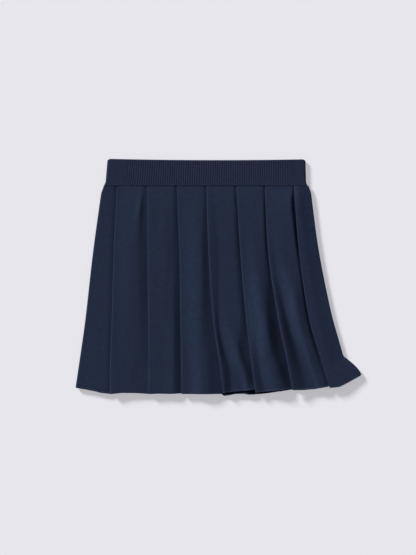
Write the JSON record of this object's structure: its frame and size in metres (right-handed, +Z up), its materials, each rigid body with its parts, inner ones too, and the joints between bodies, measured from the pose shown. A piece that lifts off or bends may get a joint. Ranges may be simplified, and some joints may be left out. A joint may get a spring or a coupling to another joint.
{
  "type": "pleated mini skirt laid flat",
  "caption": "Pleated knit mini skirt laid flat, front up, with a ribbed waistband, pressed knife pleats and soft folds at the hem.",
  "frame": {"origin": "under the middle of the whole skirt's box, on the surface it lies on", "axes": "+Z up out of the front of the skirt, +Y towards the waist, +X towards the wearer's left"},
  "size_m": [0.4864, 0.4004, 0.017],
  "materials": {
    "rib_knit": "matte navy rib knit",
    "pleat_knit": "matte navy fine-gauge knit"
  },
  "bodies": {
    "root": {"waistband": "rib_knit", "skirt_front": "pleat_knit", "skirt_back": "pleat_knit"}
  },
  "joints": []
}
